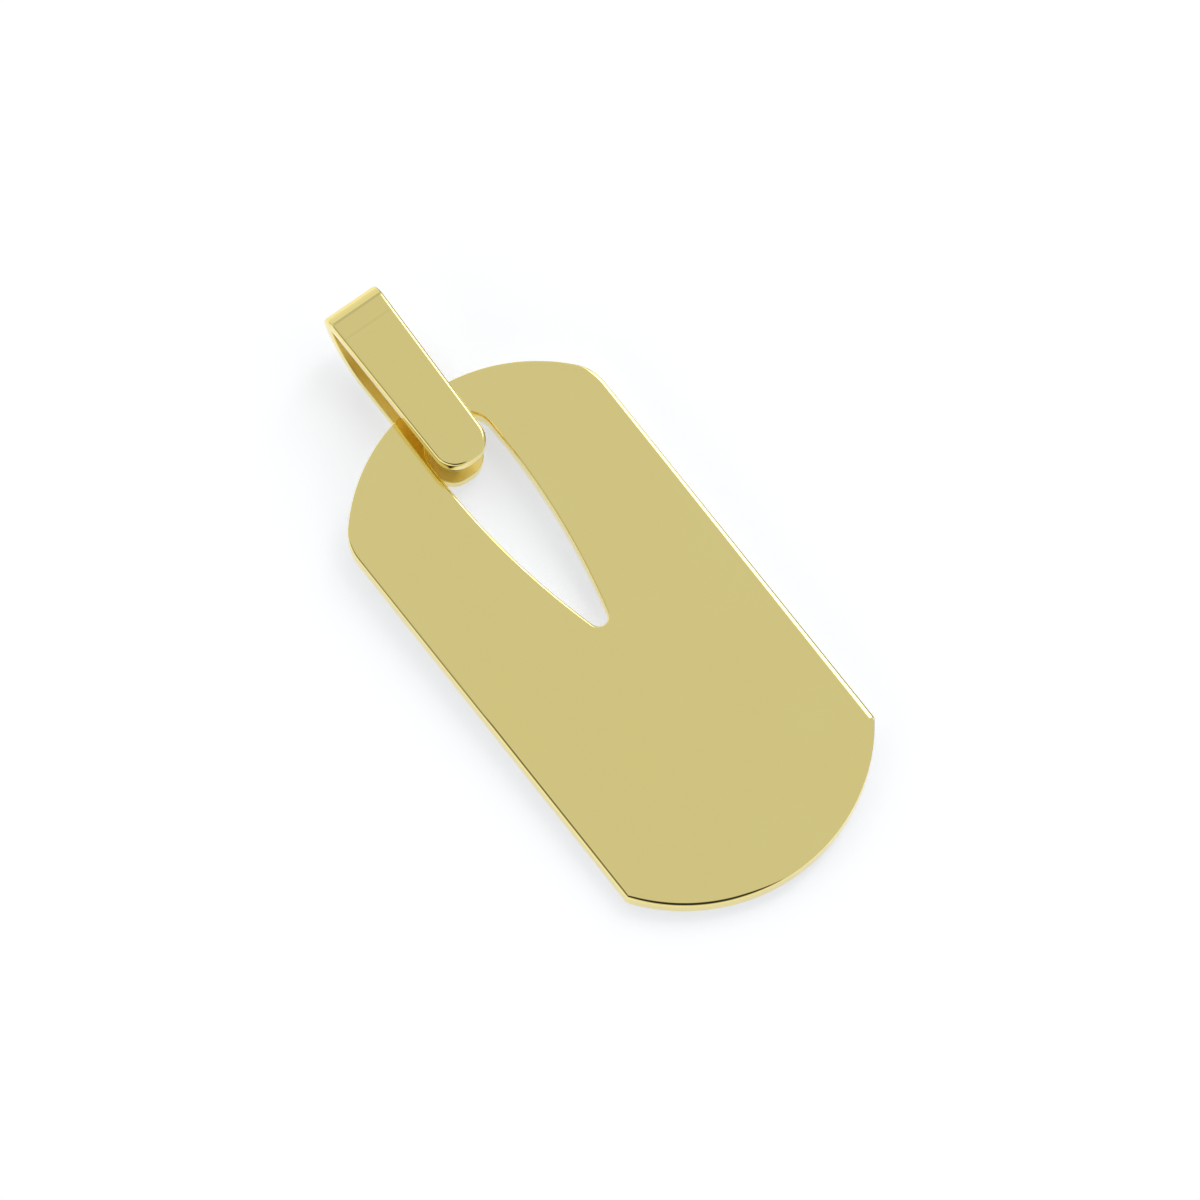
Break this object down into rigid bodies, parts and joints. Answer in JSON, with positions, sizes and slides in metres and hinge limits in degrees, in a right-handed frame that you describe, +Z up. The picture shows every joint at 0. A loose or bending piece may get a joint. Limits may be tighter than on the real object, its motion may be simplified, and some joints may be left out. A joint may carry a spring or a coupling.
{
  "type": "dog tag pendant",
  "caption": "Flat polished gold dog tag pendant with bulging ends and a long tapered slot, hung from a folded strap bail that takes a necklace chain.",
  "frame": {"origin": "on the surface that the pendant lies on, under the middle of its bounding box", "axes": "+Z up; +Y along the tag towards the fold of the strap bail; +X across the tag"},
  "size_m": [0.0204, 0.0484, 0.0051],
  "materials": {
    "plate_gold": "mirror polished yellow gold",
    "bail_gold": "mirror polished yellow gold"
  },
  "bodies": {
    "tag": {"tag_plate": "plate_gold"},
    "strap": {"bail": "bail_gold"}
  },
  "joints": [
    {"name": "bail_swing", "type": "hinge", "parent": "tag", "child": "strap", "pos_m": [-0.00052, 0.01228, 0.00252], "axis": [0, 0, 1], "range_deg": [-61, 70]}
  ]
}
